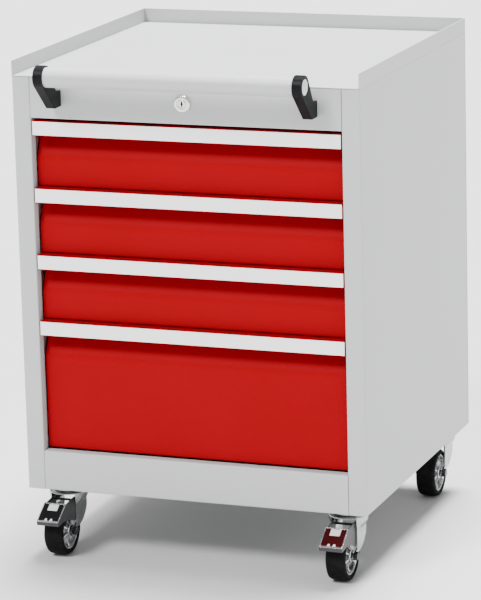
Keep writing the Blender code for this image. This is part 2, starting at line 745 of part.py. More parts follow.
def pedal_cheeks(bm):
    for side in (-1, 1):
        inner, outer = sorted(side * face for face in PEDAL_CHEEK_FACES)
        add_prism(bm, [to_pedal(p) for p in PEDAL_CHEEK], along_x, inner, outer)


def pedal_pin(bm):
    end = sum(PEDAL_CHEEK_FACES) / 2
    add_prism(bm, arc((0, 0), PEDAL_PIN, 0, 315, 7), along_x, -end, end)


def castor_meshes():
    return {
        "plate": castor_plate_mesh("castor_plate"),
        "fork": make_mesh("castor_fork", castor_fork_legs),
        "axle": make_mesh("castor_axle", castor_axle),
        "hub": make_mesh("castor_hub", castor_hub),
        "tyre": make_mesh("castor_tyre", castor_tyre),
        "pedal": make_mesh("brake_pedal", pedal_plate),
    }


def castor(word, x, y, braked, meshes, materials):
    name = f"castor_{word}"
    kingpin = add_empty(name + "_swivel", (x, y, 0))
    wheel = add_empty(name + "_wheel", (0, -TRAIL, WHEEL_RADIUS), kingpin)
    plate = add_object(name + "_plate", meshes["plate"], materials["zinc"], kingpin, round_piece=True)
    add_operand(name + "_race", castor_plate_race, plate, "UNION")

    fork = add_object(name + "_fork", meshes["fork"], materials["zinc"], kingpin)
    add_operand(name + "_crown", castor_fork_crown, fork, "UNION")
    add_operand(name + "_skirt", castor_fork_skirt, fork, "UNION")
    add_operand(name + "_holes", castor_fork_holes, fork, "DIFFERENCE")

    axle = add_object(name + "_axle", meshes["axle"], materials["zinc"], kingpin, round_piece=True)
    axle.location = wheel.location
    add_object(name + "_hub", meshes["hub"], materials["cast_aluminium"], wheel, round_piece=True)
    add_object(name + "_tyre", meshes["tyre"], materials["rubber"], wheel, round_piece=True)
    if braked:
        brake_pedal(name, kingpin, meshes["pedal"], materials)


def brake_pedal(name, kingpin, mesh, materials):
    """A foot plate between two cheeks that reach back between the fork's legs."""
    location = (0, PEDAL_PIVOT[0] - TRAIL, PEDAL_PIVOT[1])
    pivot = add_empty(name + "_pedal_pivot", location, kingpin)
    pedal = add_object(name + "_brake_pedal", mesh, materials["dark_steel"], pivot)
    add_operand(name + "_pedal_cheeks", pedal_cheeks, pedal, "UNION")
    add_operand(name + "_pedal_pin", pedal_pin, pedal, "UNION")


def make_castors(materials):
    meshes = castor_meshes()
    rows = (("front", FRONT + FRONT_KINGPIN, True), ("rear", BACK - REAR_KINGPIN, False))
    for row, y, braked in rows:
        for side, word in ((-1, "left"), (1, "right")):
            castor(f"{row}_{word}", side * CASTOR_X, y, braked, meshes, materials)


# ---------------------------------------------------------------- assembly
def clear_scene():
    for item in list(bpy.data.objects):
        bpy.data.objects.remove(item, do_unlink=True)


def main():
    clear_scene()
    materials = make_materials()
    rail_heights = make_drawers(materials)
    for side in (-1, 1):
        side_panel(side, materials)
        runner_panel(side, rail_heights, materials)
    back_panel(materials)
    top_plate(materials)
    bottom_plate(materials)
    front_fascia(materials)
    front_channel("front_bottom_rail", BODY_BOTTOM, OPENING_BOTTOM, materials)
    push_handle(materials)
    lock(materials)
    lock_bar(rail_heights, materials)
    make_castors(materials)


main()
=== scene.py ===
# %% [markdown]
# # A drawer cabinet on castors
# The real object is a cabinet of folded sheet steel: powder-coated panels, four red drawers with
# pale grip strips, a push handle, a lock and four zinc-plated castors. The frame already holds
# every part as a plain solid, on the body that it moves with. Here those solids get rounded
# folds, fine detail and finishes. We start by loading the frame, because all places and sizes
# are read from it.

# %% Load the frame
import json
import math

import bmesh
import bpy
from mathutils import Matrix, Vector


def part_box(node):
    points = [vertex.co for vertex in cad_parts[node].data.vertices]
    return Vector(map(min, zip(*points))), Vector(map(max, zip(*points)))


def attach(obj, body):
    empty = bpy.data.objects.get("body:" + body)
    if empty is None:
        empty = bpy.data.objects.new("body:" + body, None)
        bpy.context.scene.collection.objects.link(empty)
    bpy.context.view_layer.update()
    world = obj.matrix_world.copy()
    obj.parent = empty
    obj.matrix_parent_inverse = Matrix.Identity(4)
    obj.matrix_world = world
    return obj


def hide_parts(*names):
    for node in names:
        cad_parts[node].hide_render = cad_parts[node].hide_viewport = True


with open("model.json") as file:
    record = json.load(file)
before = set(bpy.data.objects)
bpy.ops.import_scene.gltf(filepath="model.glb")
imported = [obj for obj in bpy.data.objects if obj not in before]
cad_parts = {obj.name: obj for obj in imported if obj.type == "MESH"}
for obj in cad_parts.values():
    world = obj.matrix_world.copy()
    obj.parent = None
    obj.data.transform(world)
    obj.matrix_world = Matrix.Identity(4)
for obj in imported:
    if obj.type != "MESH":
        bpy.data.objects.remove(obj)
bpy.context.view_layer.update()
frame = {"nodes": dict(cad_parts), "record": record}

MM = 0.001

# %% [markdown]
# ## The camera
# A long lens from a few metres away keeps the cabinet's uprights nearly parallel. A camera could
# be turned by hand or made to track an empty; working out its three axes from two points and a
# small tilt gives the same view on every run.

# %% Camera
LENS = 195.7
SENSOR_WIDTH = 36
TILT = math.radians(-1.5)
STANDPOINT = Vector((1.7011, -4.4761, 1.5200))
LOOKED_AT = Vector((-0.0125, 0.0211, 0.3507))


def aim(standpoint, looked_at, tilt):
    """The matrix of a camera that looks at a point, its top leaning by the tilt."""
    forward = (looked_at - standpoint).normalized()
    right = forward.cross(Vector((0, 0, 1))).normalized()
    up = right.cross(forward)
    across = math.cos(tilt) * right + math.sin(tilt) * up
    upright = math.cos(tilt) * up - math.sin(tilt) * right
    turn = Matrix((across, upright, -forward)).transposed()
    return Matrix.Translation(standpoint) @ turn.to_4x4()


camera_data = bpy.data.cameras.new("studio_camera")
camera_data.lens = LENS
camera_data.sensor_width = SENSOR_WIDTH
camera = bpy.data.objects.new("studio_camera", camera_data)
camera.matrix_world = aim(STANDPOINT, LOOKED_AT, TILT)
bpy.context.collection.objects.link(camera)
bpy.context.scene.camera = camera
print("camera distance, m:", round((LOOKED_AT - STANDPOINT).length, 3))

# %% [markdown]
# ## Light
# A pale studio wraps the cabinet in even light: the world gives the base, a high lamp a little
# behind the cabinet brightens the worktop and the floor, one half-way up in front fills the
# drawers, and a low one from the right fills the side. Each is a Sun lamp with a wide angle,
# which acts as a softbox far away. Area lamps would fall off towards the floor's edges.

# %% Studio
TOP_POWER = 14.0
FRONT_POWER = 3.7
SIDE_POWER = 0.40


def soft_sun(name, turn, height, spread, power):
    """A wide lamp at infinity: turn is from straight ahead to the right, in degrees."""
    lamp = bpy.data.lights.new(name, "SUN")
    lamp.angle = math.radians(spread)
    lamp.energy = power
    lamp_object = bpy.data.objects.new(name, lamp)
    lamp_object.rotation_euler = (math.radians(90 - height), 0, math.radians(turn))
    bpy.context.collection.objects.link(lamp_object)


soft_sun("top_light", turn=168, height=77, spread=24, power=TOP_POWER)
soft_sun("front_light", turn=-22, height=46, spread=16, power=FRONT_POWER)
soft_sun("side_light", turn=78, height=20, spread=40, power=SIDE_POWER)

# %% [markdown]
# ## Finishes as arithmetic
# A finish is a small calculation at each point of a surface: noise, multiplied, added, and used
# to mix two colours. In the node editor that is a web of Math nodes. Here one small class
# stands for a node's output and overloads + - and *, so the sum is written as a sum, and a
# second class has the single method that adds any node.


# %% Node arithmetic
class Value:
    """A node's output, usable in plain arithmetic."""

    def __init__(self, graph, socket):
        self.graph = graph
        self.socket = socket

    def maths(self, operation, *terms):
        return self.graph.add("ShaderNodeMath", {"operation": operation}, dict(enumerate(terms)))

    def __add__(self, other):
        return self.maths("ADD", self, other)

    def __mul__(self, other):
        return self.maths("MULTIPLY", self, other)

    def __sub__(self, other):
        return self.maths("SUBTRACT", self, other)

    def __rsub__(self, other):
        return self.maths("SUBTRACT", other, self)

    __radd__ = __add__
    __rmul__ = __mul__

    def output(self, name):
        return Value(self.graph, self.socket.node.outputs[name])


class Graph:
    """A node tree, and the one way in which nodes are added to it."""

    def __init__(self, tree):
        tree.nodes.clear()
        self.tree = tree

    def add(self, kind, settings=None, sockets=None, out=0):
        node = self.tree.nodes.new(kind)
        for name, value in (settings or {}).items():
            if name == "stops":
                for element, (position, level) in zip(node.color_ramp.elements, value):
                    element.position = position
                    element.color = (level, level, level, 1.0)
            else:
                setattr(node, name, value)
        for key, value in (sockets or {}).items():
            if isinstance(value, Value):
                self.tree.links.new(value.socket, node.inputs[key])
            else:
                node.inputs[key].default_value = value
        return Value(self, node.outputs[out]) if node.outputs else node


# %% [markdown]
# ## Patterns that the finishes share
# Every finish needs the same few steps: a noise of some size, a noise drawn out along one axis,
# a soft threshold, a mix of two tones, and a relief. Node groups would work too, but functions
# read better.


# %% Patterns that the finishes share
def noise(place, scale, detail=2.0):
    return place.graph.add("ShaderNodeTexNoise", {}, {"Vector": place, "Scale": scale,
                                                      "Detail": detail}, "Fac")


def stretched(place, scale):
    """The same place with its axes scaled, so that a pattern runs along one of them."""
    return place.graph.add("ShaderNodeMapping", {}, {"Vector": place, "Scale": scale})


def ramp(value, low, high):
    """0 below low and 1 above high."""
    return value.graph.add("ShaderNodeValToRGB", {"stops": ((low, 0.0), (high, 1.0))},
                           {"Fac": value})


def tint(factor, first, second):
    return factor.graph.add("ShaderNodeMix", {"data_type": "RGBA"},
                            {0: factor, 6: (*first, 1.0), 7: (*second, 1.0)}, 2)


def relief(height, depth):
    return height.graph.add("ShaderNodeBump", {}, {"Height": height, "Distance": depth,
                                                   "Strength": 1.0}, "Normal")


def finish(name, surface, **constants):
    """A material whose varying sockets come from surface(place), the rest being constants."""
    material = bpy.data.materials.new(name)
    material.use_nodes = True
    graph = Graph(material.node_tree)
    place = graph.add("ShaderNodeTexCoord", out="Object")
    sockets = {key.replace("_", " "): value for key, value in constants.items()}
    sockets.update(surface(place))
    shader = graph.add("ShaderNodeBsdfPrincipled", {}, sockets)
    graph.add("ShaderNodeOutputMaterial", {}, {"Surface": shader})
    return material


# %% [markdown]
# ## Powder coat
# Powder coat is baked plastic on steel. Close to, it has a fine orange-peel ripple, and its
# thickness makes the tone drift by a per cent or two. One function takes the two tones, since
# the grey body and the red drawers differ little else.

# %% Powder-coat finishes
def powder_coat(thin, thick, gloss):
    def surface(place):
        drift = noise(place, 7.0, 3.0)
        peel = noise(place, 1100.0, 1.0)
        speck = noise(place, 260.0, 2.0)
        return {"Base Color": tint(ramp(drift * 0.8 + speck * 0.2, 0.3, 0.7), thin, thick),
                "Roughness": gloss + 0.10 * speck + 0.05 * drift,
                "Normal": relief(peel + 0.6 * speck, 0.00003)}
    return surface


GREY_COAT = finish(
    "grey_powder_coat", powder_coat((0.428, 0.440, 0.435), (0.442, 0.454, 0.449), 0.40),
    Specular_IOR_Level=0.35)
RED_COAT = finish(
    "red_powder_coat", powder_coat((0.246, 0.0001, 0.004), (0.260, 0.0002, 0.005), 0.34),
    Specular_IOR_Level=0.02)
print("coats:", GREY_COAT.name, RED_COAT.name)

# %% [markdown]
# ## Strip, plastics and rubber
# The grip strips are anodised: fine lines run along them, which a noise stretched along X gives.
# The moulded plastics carry the grain of their mould, and the tyres are matt rubber with a
# little dust. Image textures would do as well, but noise never repeats and needs no file.

# %% Strip, plastic and rubber finishes
def anodised(place):
    lines = noise(stretched(place, (3.0, 900.0, 900.0)), 1.0, 3.0)
    drift = noise(place, 11.0, 2.0)
    return {"Base Color": tint(ramp(lines * 0.6 + drift * 0.4, 0.35, 0.65),
                               (0.90, 0.91, 0.905), (0.93, 0.94, 0.935)),
            "Roughness": 0.28 + 0.14 * lines,
            "Normal": relief(lines, 0.00002)}


def moulded(dark, light, gloss):
    def surface(place):
        grain = noise(place, 1800.0, 3.0)
        flow = noise(place, 45.0, 2.0)
        return {"Base Color": tint(ramp(grain * 0.5 + flow * 0.5, 0.35, 0.65), dark, light),
                "Roughness": gloss + 0.16 * grain,
                "Normal": relief(grain, 0.00004)}
    return surface


def tyre_rubber(place):
    grain = noise(place, 1500.0, 2.0)
    dust = ramp(noise(place, 70.0, 4.0), 0.52, 0.80)
    return {"Base Color": tint(dust, (0.006, 0.006, 0.0065), (0.014, 0.014, 0.0135)),
            "Roughness": 0.50 + 0.20 * grain + 0.10 * dust,
            "Normal": relief(grain, 0.00003)}


STRIP = finish("anodised_strip", anodised)
BLACK_PLASTIC = finish(
    "black_plastic", moulded((0.004, 0.004, 0.0045), (0.007, 0.007, 0.008), 0.30),
    Specular_IOR_Level=0.07)
PALE_PLASTIC = finish("pale_plastic", moulded((0.60, 0.61, 0.61), (0.68, 0.69, 0.69), 0.38))
# The right pad's dark red is painted light: how the pad was lit, copied into its colour.
PAD_RED_PAINTED_LIGHT = finish(
    "maroon_plastic", moulded((0.026, 0.001, 0.0015), (0.042, 0.0015, 0.002), 0.30),
    Specular_IOR_Level=0.06)
RUBBER = finish("tyre_rubber", tyre_rubber, Specular_IOR_Level=0.05)
print("moulded finishes:", BLACK_PLASTIC.name, PALE_PLASTIC.name, RUBBER.name)

# %% [markdown]
# ## Bare metals
# Galvanised sheet shows its crystals, flat cells of slightly different tone: Voronoi cells give
# them directly. Zinc plate has soft clouds from the plating bath. Nickel, cast aluminium and
# the dark steels differ in tone and in how fine their grain is, so they share one function.

# %% Metal finishes
def galvanised_sheet(place):
    cells = place.graph.add("ShaderNodeTexVoronoi", {"feature": "F1"},
                            {"Vector": place, "Scale": 130.0}, "Color")
    tone = place.graph.add("ShaderNodeSeparateColor", {}, {"Color": cells}, "Red")
    grain = noise(place, 900.0, 2.0)
    return {"Base Color": tint(tone, (0.50, 0.51, 0.52), (0.60, 0.61, 0.62)),
            "Roughness": 0.30 + 0.12 * tone + 0.06 * grain,
            "Normal": relief(grain, 0.00001)}


def plated(dull, bright, gloss, grain_scale):
    def surface(place):
        clouds = noise(place, 55.0, 3.0)
        grain = noise(place, grain_scale, 2.0)
        return {"Base Color": tint(ramp(clouds * 0.7 + grain * 0.3, 0.35, 0.65), dull, bright),
                "Roughness": gloss + 0.12 * clouds + 0.05 * grain,
                "Normal": relief(grain, 0.000015)}
    return surface


GALVANISED = finish("galvanised_sheet", galvanised_sheet, Metallic=1.0)
ZINC = finish(
    "zinc_plate", plated((0.33, 0.335, 0.345), (0.47, 0.475, 0.485), 0.16, 1200.0), Metallic=1.0)
NICKEL = finish(
    "nickel_plate", plated((0.66, 0.65, 0.63), (0.76, 0.75, 0.73), 0.12, 2000.0), Metallic=1.0)
ALUMINIUM = finish(
    "cast_aluminium", plated((0.46, 0.46, 0.47), (0.66, 0.66, 0.67), 0.12, 700.0), Metallic=1.0)
DARK_STEEL = finish(
    "dark_steel", plated((0.034, 0.034, 0.036), (0.050, 0.050, 0.052), 0.36, 900.0),
    Metallic=0.2, Specular_IOR_Level=0.3)
BURNISHED = finish(
    "burnished_steel", plated((0.028, 0.028, 0.030), (0.05, 0.05, 0.052), 0.28, 900.0),
    Metallic=0.8)
print("finishes in all:", len(bpy.data.materials))

# %% [markdown]
# ## Floor
# The floor and the world are both plain and pale, so that the cabinet stands on a quiet sweep.
# The floor is only scenery, not a part of the cabinet.

# %% Floor and world
WORLD_STRENGTH = 0.75
FLOOR_SIZE = 60.0


def floor_paint(place):
    return {"Base Color": tint(noise(place, 2.0, 2.0), (0.48, 0.48, 0.48), (0.495, 0.495, 0.495))}


def make_floor():
    bm = bmesh.new()
    bmesh.ops.create_grid(bm, x_segments=1, y_segments=1, size=FLOOR_SIZE)
    mesh = bpy.data.meshes.new("studio_floor")
    bm.to_mesh(mesh)
    bm.free()
    mesh.materials.append(finish("studio_floor", floor_paint, Roughness=0.9))
    floor = bpy.data.objects.new("studio_floor", mesh)
    bpy.context.collection.objects.link(floor)
    print("floor, m:", [round(v) for v in floor.dimensions])


world = bpy.data.worlds.new("studio_world")
world.use_nodes = True
world_graph = Graph(world.node_tree)
backdrop = world_graph.add("ShaderNodeBackground", {}, {"Color": (1.0, 1.0, 1.0, 1.0),
                                                        "Strength": WORLD_STRENGTH})
world_graph.add("ShaderNodeOutputWorld", {}, {"Surface": backdrop})
bpy.context.scene.world = world
make_floor()

# %% [markdown]
# ## Shared mesh tools
# Most parts are sheet, bar or turned metal. A few helpers cover them: a prism between two
# copies of an outline, a turned ring from a profile, new_object, which merges doubles and points
# the faces outwards, and install, which gives a piece its finish, its rounded edges and its
# body. Primitive cubes and cylinders would be quicker, but have no profile to control.

# %% Mesh tools
BODY_OF = {node: body for body, nodes in frame["record"]["behaviour"]["bodies"].items()
           for node in nodes}


def along_x(u, v, w):
    return (w, u, v)


def along_z(u, v, w):
    return (u, v, w)


def prism(bm, outline, place, start, end):
    """A solid between two copies of an outline; place(u, v, w) gives a point in space."""
    first = [bm.verts.new(place(u, v, start)) for u, v in outline]
    last = [bm.verts.new(place(u, v, end)) for u, v in outline]
    bm.faces.new(first)
    bm.faces.new(last[::-1])
    for i, j in zip(range(len(first)), [*range(1, len(first)), 0]):
        bm.faces.new((first[i], last[i], last[j], first[j]))


def arc(centre, radius, start, end, steps):
    """Points on a circle, from one angle to another in degrees."""
    angles = [math.radians(start + (end - start) * i / steps) for i in range(steps + 1)]
    return [(centre[0] + radius * math.cos(a), centre[1] + radius * math.sin(a)) for a in angles]


def turned(bm, profile, place, segments=64, ring=False):
    """A turned solid from (radius, height) points; a ring's profile closes on itself."""
    rows = []
    for radius, height in profile:
        circle = arc((0, 0), radius, 0, 360 * (1 - 1 / segments), segments - 1)
        rows.append([bm.verts.new(place(u, v, height)) for u, v in circle])
    if ring:
        rows.append(rows[0])
    else:
        bm.faces.new(rows[0][::-1])
        bm.faces.new(rows[-1])
    for lower, upper in zip(rows, rows[1:]):
        for i in range(segments):
            j = (i + 1) % segments
            bm.faces.new((lower[i], lower[j], upper[j], upper[i]))


def block(bm, low, high, place=along_z):
    outline = ((low[0], low[1]), (high[0], low[1]), (high[0], high[1]), (low[0], high[1]))
    prism(bm, outline, place, low[2], high[2])


def new_object(name, bm, weld=1e-6):
    """An object from bmesh geometry, its doubles merged and its faces pointing outwards."""
    bmesh.ops.remove_doubles(bm, verts=bm.verts, dist=weld)
    bmesh.ops.recalc_face_normals(bm, faces=bm.faces)
    mesh = bpy.data.meshes.new(name)
    bm.to_mesh(mesh)
    bm.free()
    item = bpy.data.objects.new(name, mesh)
    bpy.context.collection.objects.link(item)
    return item


def turned_object(name, *shape, **options):
    """A turned solid as an object of its own."""
    bm = bmesh.new()
    turned(bm, *shape, **options)
    return new_object(name, bm)


def round_edges(item, width, segments=3):
    """Softens every sharp edge, keeping the large faces flat to the eye."""
    bevel = item.modifiers.new("rounded_edges", "BEVEL")
    bevel.width = width
    bevel.segments = segments
    bevel.limit_method = "ANGLE"
    bevel.angle_limit = math.radians(32)
    bevel.harden_normals = True


def install(item, material, body, replaced=(), edge=0.0, smooth=32):
    """Gives a piece its finish, its rounded edges and its body in the frame."""
    item.data.materials.clear()
    item.data.materials.append(material)
    item.data.shade_smooth()
    item.data.set_sharp_from_angle(angle=math.radians(smooth))
    if edge:
        round_edges(item, edge)
    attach(item, body)
    if replaced:
        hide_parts(*replaced)
    return item


print("bodies:", len(set(BODY_OF.values())), "nodes:", len(BODY_OF))

# %% [markdown]
# ## Folding sheet steel
# Nearly the whole body is folded sheet, so one rule makes it all: take the line that a press
# brake would follow, round each fold, and draw the line out along the fold. Extruding by hand
# would work once; as Geometry Nodes it is a tool with named inputs, used for panels, rails and
# drawer fronts alike.


# %% The fold_sheet tree
def new_tree(name, output, **inputs):
    """A Geometry Nodes tree with named inputs and one output, and the node of its inputs."""
    tree = bpy.data.node_groups.new(name, "GeometryNodeTree")
    for key, kind in inputs.items():
        tree.interface.new_socket(key.replace("_", " "), in_out="INPUT",
                                  socket_type="NodeSocket" + kind)
    tree.interface.new_socket(output, in_out="OUTPUT", socket_type="NodeSocketGeometry")
    graph = Graph(tree)
    return tree, graph, graph.add("NodeGroupInput")


def end_tree(graph, geometry, given, output):
    """Makes the geometry real, gives it the finish and hands it out."""
    real = graph.add("GeometryNodeRealizeInstances", {}, {"Geometry": geometry})
    done = graph.add("GeometryNodeSetMaterial", {}, {"Geometry": real,
                                                     "Material": given.output("Finish")})
    graph.add("NodeGroupOutput", {}, {output: done})


def fold_tree():
    """Rounds the folds of a path and draws it out into a sheet."""
    tree, graph, given = new_tree("fold_sheet", "Sheet", Path="Geometry", Draw_Out="Vector",
                                  Fold_Steps="Int", Finish="Material")
    radius = graph.add("GeometryNodeInputNamedAttribute", {"data_type": "FLOAT"},
                       {"Name": "fold_radius"})
    line = graph.add("GeometryNodeMeshToCurve", {}, {"Mesh": given})
    rounded = graph.add("GeometryNodeFilletCurve", {"mode": "POLY"},
                        {"Curve": line, "Radius": radius, "Limit Radius": True,
                         "Count": given.output("Fold Steps")})
    wire = graph.add("GeometryNodeCurveToMesh", {}, {"Curve": rounded})
    drawn = graph.add("GeometryNodeExtrudeMesh", {"mode": "EDGES"},
                      {"Mesh": wire, "Offset": given.output("Draw Out"), "Offset Scale": 1.0})
    end_tree(graph, drawn, given, "Sheet")
    return tree


def evaluated_mesh(item):
    """An object's mesh as its modifiers leave it."""
    bpy.context.view_layer.update()
    evaluated = item.evaluated_get(bpy.context.evaluated_depsgraph_get())
    return bpy.data.meshes.new_from_object(evaluated)


def run_tree(name, tree, start, **inputs):
    """Runs a tree on a starting object and returns the result as a plain object."""
    modifier = start.modifiers.new(tree.name, "NODES")
    modifier.node_group = tree
    for item in tree.interface.items_tree:
        key = item.name.replace(" ", "_").lower()
        if item.in_out == "INPUT" and key in inputs:
            modifier[item.identifier] = inputs[key]
    mesh = evaluated_mesh(start)
    bpy.data.objects.remove(start)
    bm = bmesh.new()
    bm.from_mesh(mesh)
    bpy.data.meshes.remove(mesh)
    return new_object(name, bm)


FOLD_SHEET = fold_tree()
print("inputs of fold_sheet:", [item.name for item in FOLD_SHEET.interface.items_tree])


# %% [markdown]
# ## Sheet thickness on the right side
# A path has no inside, so Solidify may thicken it either way. The winding of the faces would
# tell, but measuring is surer: a sheet that stands out of its plain solid's box is thickened to
# the other side.


# %% Sheet thickness on the right side
def reach_outside(item, box):
    """How far an object stands out of a box, in metres."""
    bpy.context.view_layer.update()
    mesh = item.evaluated_get(bpy.context.evaluated_depsgraph_get()).data
    points = [vertex.co for vertex in mesh.vertices]
    low, high = box
    return max(max(low[i] - min(p[i] for p in points), max(p[i] for p in points) - high[i])
               for i in range(3))


def thicken(item, thickness, box):
    """Gives a surface its thickness inside a box; returns how far it stands out, in mm."""
    sheet = item.modifiers.new("thickness", "SOLIDIFY")
    sheet.thickness = thickness
    sheet.use_even_offset = True
    sheet.offset = -1.0
    if reach_outside(item, box) > thickness / 2:
        sheet.offset = 1.0
    return round(reach_outside(item, box) / MM, 3)


def folded(name, path, radii, draw_out, material, box, thickness, steps=6):
    """A folded sheet; path is a list of points in space, with a radius for each."""
    mesh = bpy.data.meshes.new(name + "_path")
    mesh.from_pydata(path, [(i, i + 1) for i in range(len(path) - 1)], [])
    attribute = mesh.attributes.new("fold_radius", "FLOAT", "POINT")
    attribute.data.foreach_set("value", radii)
    start = bpy.data.objects.new(name + "_path", mesh)
    bpy.context.collection.objects.link(start)
    item = run_tree(name, FOLD_SHEET, start, draw_out=draw_out, fold_steps=steps, finish=material)
    print(name, "faces", len(item.data.polygons), "outside, mm", thicken(item, thickness, box))
    return item


# %% [markdown]
# ## Side panels
# Each side is one sheet, folded round the front upright and inside the back. Above the worktop
# only the outer wall goes on, as the rim. The wall could be cut out of one tall sheet; here the
# folded part and the rim's strip meet edge to edge at the worktop's level, as the fold's relief
# cut does on the real panel.

# %% Side panels
SHEET = 1.5 * MM
FOLD = 2.0 * MM
EDGE = 0.35 * MM
REAR_FLANGE = 18 * MM
RIM_GAP = 0.3 * MM
WORKTOP_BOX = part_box("top_plate")
FASCIA_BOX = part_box("front_fascia")
FOLDS_TOP = FASCIA_BOX[1].z
FACE_Y = FASCIA_BOX[0].y


def side_panel(side, word):
    node = word + "_side_panel"
    low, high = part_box(node)
    outer = high.x if side > 0 else low.x
    inner = low.x if side > 0 else high.x
    back_edge = outer - side * REAR_FLANGE
    path = [(inner, FASCIA_BOX[1].y, low.z), (inner, low.y, low.z), (outer, low.y, low.z),
            (outer, high.y, low.z), (back_edge, high.y, low.z)]
    box = (low, Vector((high.x, high.y, FOLDS_TOP)))
    item = folded(node + "_folded", path, [0, FOLD, FOLD, FOLD, 0], (0, 0, FOLDS_TOP - low.z),
                  GREY_COAT, box, SHEET)
    install(item, GREY_COAT, BODY_OF[node], [node], EDGE)
    bm = bmesh.new()
    wall = sorted((outer, outer - side * SHEET))
    block(bm, (wall[0], low.y + RIM_GAP, FOLDS_TOP), (wall[1], high.y, high.z))
    install(new_object(node + "_rim", bm), GREY_COAT, BODY_OF[node], [], EDGE)


for side, word in ((-1, "left"), (1, "right")):
    side_panel(side, word)

# %% [markdown]
# ## Flat plates
# The worktop, the back and the floor are plain sheets. Their solids are already right, but a
# real cut edge is never perfectly sharp, and it is the softened edge that catches the light.
# So each is copied, its loose triangles are joined, and a Bevel rounds the edges.


# %% Copies with softened edges
def refined(node, material, edge, segments=3, smooth=32):
    """A copy of a CAD node with its triangles merged and its edges rounded."""
    bm = bmesh.new()
    bm.from_mesh(frame["nodes"][node].data)
    bmesh.ops.remove_doubles(bm, verts=bm.verts, dist=1e-6)
    bmesh.ops.dissolve_limit(bm, angle_limit=math.radians(0.5), verts=bm.verts, edges=bm.edges)
    item = new_object(node + "_finished", bm)
    install(item, material, BODY_OF[node], [node], 0.0, smooth)
    round_edges(item, edge, segments)
    return item


refined("top_plate", GREY_COAT, 0.6 * MM)
refined("back_panel", GREY_COAT, 0.5 * MM)
refined("bottom_plate", GREY_COAT, 0.4 * MM)
print("worktop, mm:", [round(v / MM, 1) for v in WORKTOP_BOX[1] - WORKTOP_BOX[0]])

# %% [markdown]
# ## Front rails
# The fascia over the drawers and the rail under them are channels between the uprights. Their
# rounded folds draw the bright lines above and below the drawers. The fascia also has the hole
# that the lock's barrel goes through, cut with a Boolean.


# %% Fascia and bottom rail
def front_channel(node):
    low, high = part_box(node)
    path = [(low.x, high.y, low.z), (low.x, low.y, low.z), (low.x, low.y, high.z),
            (low.x, high.y, high.z)]
    return folded(node + "_folded", path, [0, FOLD, FOLD, 0], (high.x - low.x, 0, 0), GREY_COAT,
                  (low, high), SHEET)


def cut_hole(item, build):
    """Cuts a shape out of an object and keeps only the result."""
    bm = bmesh.new()
    build(bm)
    cutter = new_object(item.name + "_cutter", bm)
    cut = item.modifiers.new("hole", "BOOLEAN")
    cut.object = cutter
    cut.solver = "EXACT"
    mesh = evaluated_mesh(item)
    item.modifiers.clear()
    item.data = mesh
    bpy.data.objects.remove(cutter)


LOCK_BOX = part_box("lock_housing")
LOCK_CENTRE = (LOCK_BOX[0] + LOCK_BOX[1]) / 2
BARREL_HOLE = 9.5 * MM
CUT_MARGIN = 5 * MM


def lock_place(u, v, w):
    return (LOCK_CENTRE.x + u, w, LOCK_CENTRE.z + v)


fascia = front_channel("front_fascia")
cut_hole(fascia, lambda bm: prism(bm, arc((0, 0), BARREL_HOLE, 0, 354, 59), lock_place,
                                  FACE_Y - CUT_MARGIN, FACE_Y + CUT_MARGIN))
install(fascia, GREY_COAT, BODY_OF["front_fascia"], ["front_fascia"], EDGE)
install(front_channel("front_bottom_rail"), GREY_COAT, BODY_OF["front_bottom_rail"],
        ["front_bottom_rail"], EDGE)

# %% [markdown]
# ## Drawer fronts
# A drawer front is one folded red sheet: a hem behind the strip, a flange over the finger
# recess, the recess itself, which swings out in a soft curve, and the set-back face. Only the
# height differs from drawer to drawer, so the same fold tree makes all four. Two side flanges
# close each end behind the face.

# %% Drawer fronts
DRAWERS = range(1, 5)
RECESS_START = 23 * MM
RECESS_END = 54 * MM
SETBACK = 15 * MM
RECESS_BEND = 26 * MM
HEM = 1.2 * MM
RED_SHEET = 1.5 * MM
HEM_FOLD = 1.2 * MM
BOTTOM_FOLD = 12 * MM
FLANGE_INSET = 3 * MM           # behind the face
FLANGE_END = 2.5 * MM           # short of the top and the bottom
FLANGE_WIDTH = 2 * MM           # at least
FLANGE_GAP = 0.4 * MM           # inside the front's ends


def front_section(node):
    """The fold line of a drawer front as (y, z) points, with the radius of each fold."""
    low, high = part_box(node)
    strip_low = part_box(node.replace("_front", "_handle_strip"))[0]
    recess_y = high.y - RED_SHEET
    face_y = FACE_Y + SETBACK
    top = high.z
    points = [(low.y, strip_low.z - HEM), (low.y, top), (recess_y, top),
              (recess_y, top - RECESS_START), (face_y, top - RECESS_END),
              (face_y, low.z), (face_y + BOTTOM_FOLD, low.z)]
    return points, [0, HEM_FOLD, FOLD, RECESS_BEND, RECESS_BEND, FOLD, 0]


def drawer_front(number):
    node = f"drawer_{number}_front"
    low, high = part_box(node)
    points, radii = front_section(node)
    path = [(low.x, y, z) for y, z in points]
    item = folded(node + "_folded", path, radii, (high.x - low.x, 0, 0), RED_COAT, (low, high),
                  RED_SHEET, 8)
    install(item, RED_COAT, BODY_OF[node], [node], EDGE)


def end_flanges(number):
    """Closes both ends of a front, between its face and its back edge."""
    node = f"drawer_{number}_front"
    low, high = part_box(node)
    points, _ = front_section(node)
    back, top, bottom = high.y, high.z - FLANGE_END, low.z + FLANGE_END
    front = [(min(y + FLANGE_INSET, back - FLANGE_WIDTH), max(z, bottom)) for y, z in points[3:6]]
    outline = [(back - RED_SHEET, top), *front, (back, bottom), (back, top)]
    bm = bmesh.new()
    for start in (low.x + FLANGE_GAP, high.x - FLANGE_GAP - RED_SHEET):
        prism(bm, outline, along_x, start, start + RED_SHEET)
    item = new_object(node + "_end_flanges", bm)
    install(item, RED_COAT, BODY_OF[node], [], 0.2 * MM)


for number in DRAWERS:
    drawer_front(number)
    end_flanges(number)

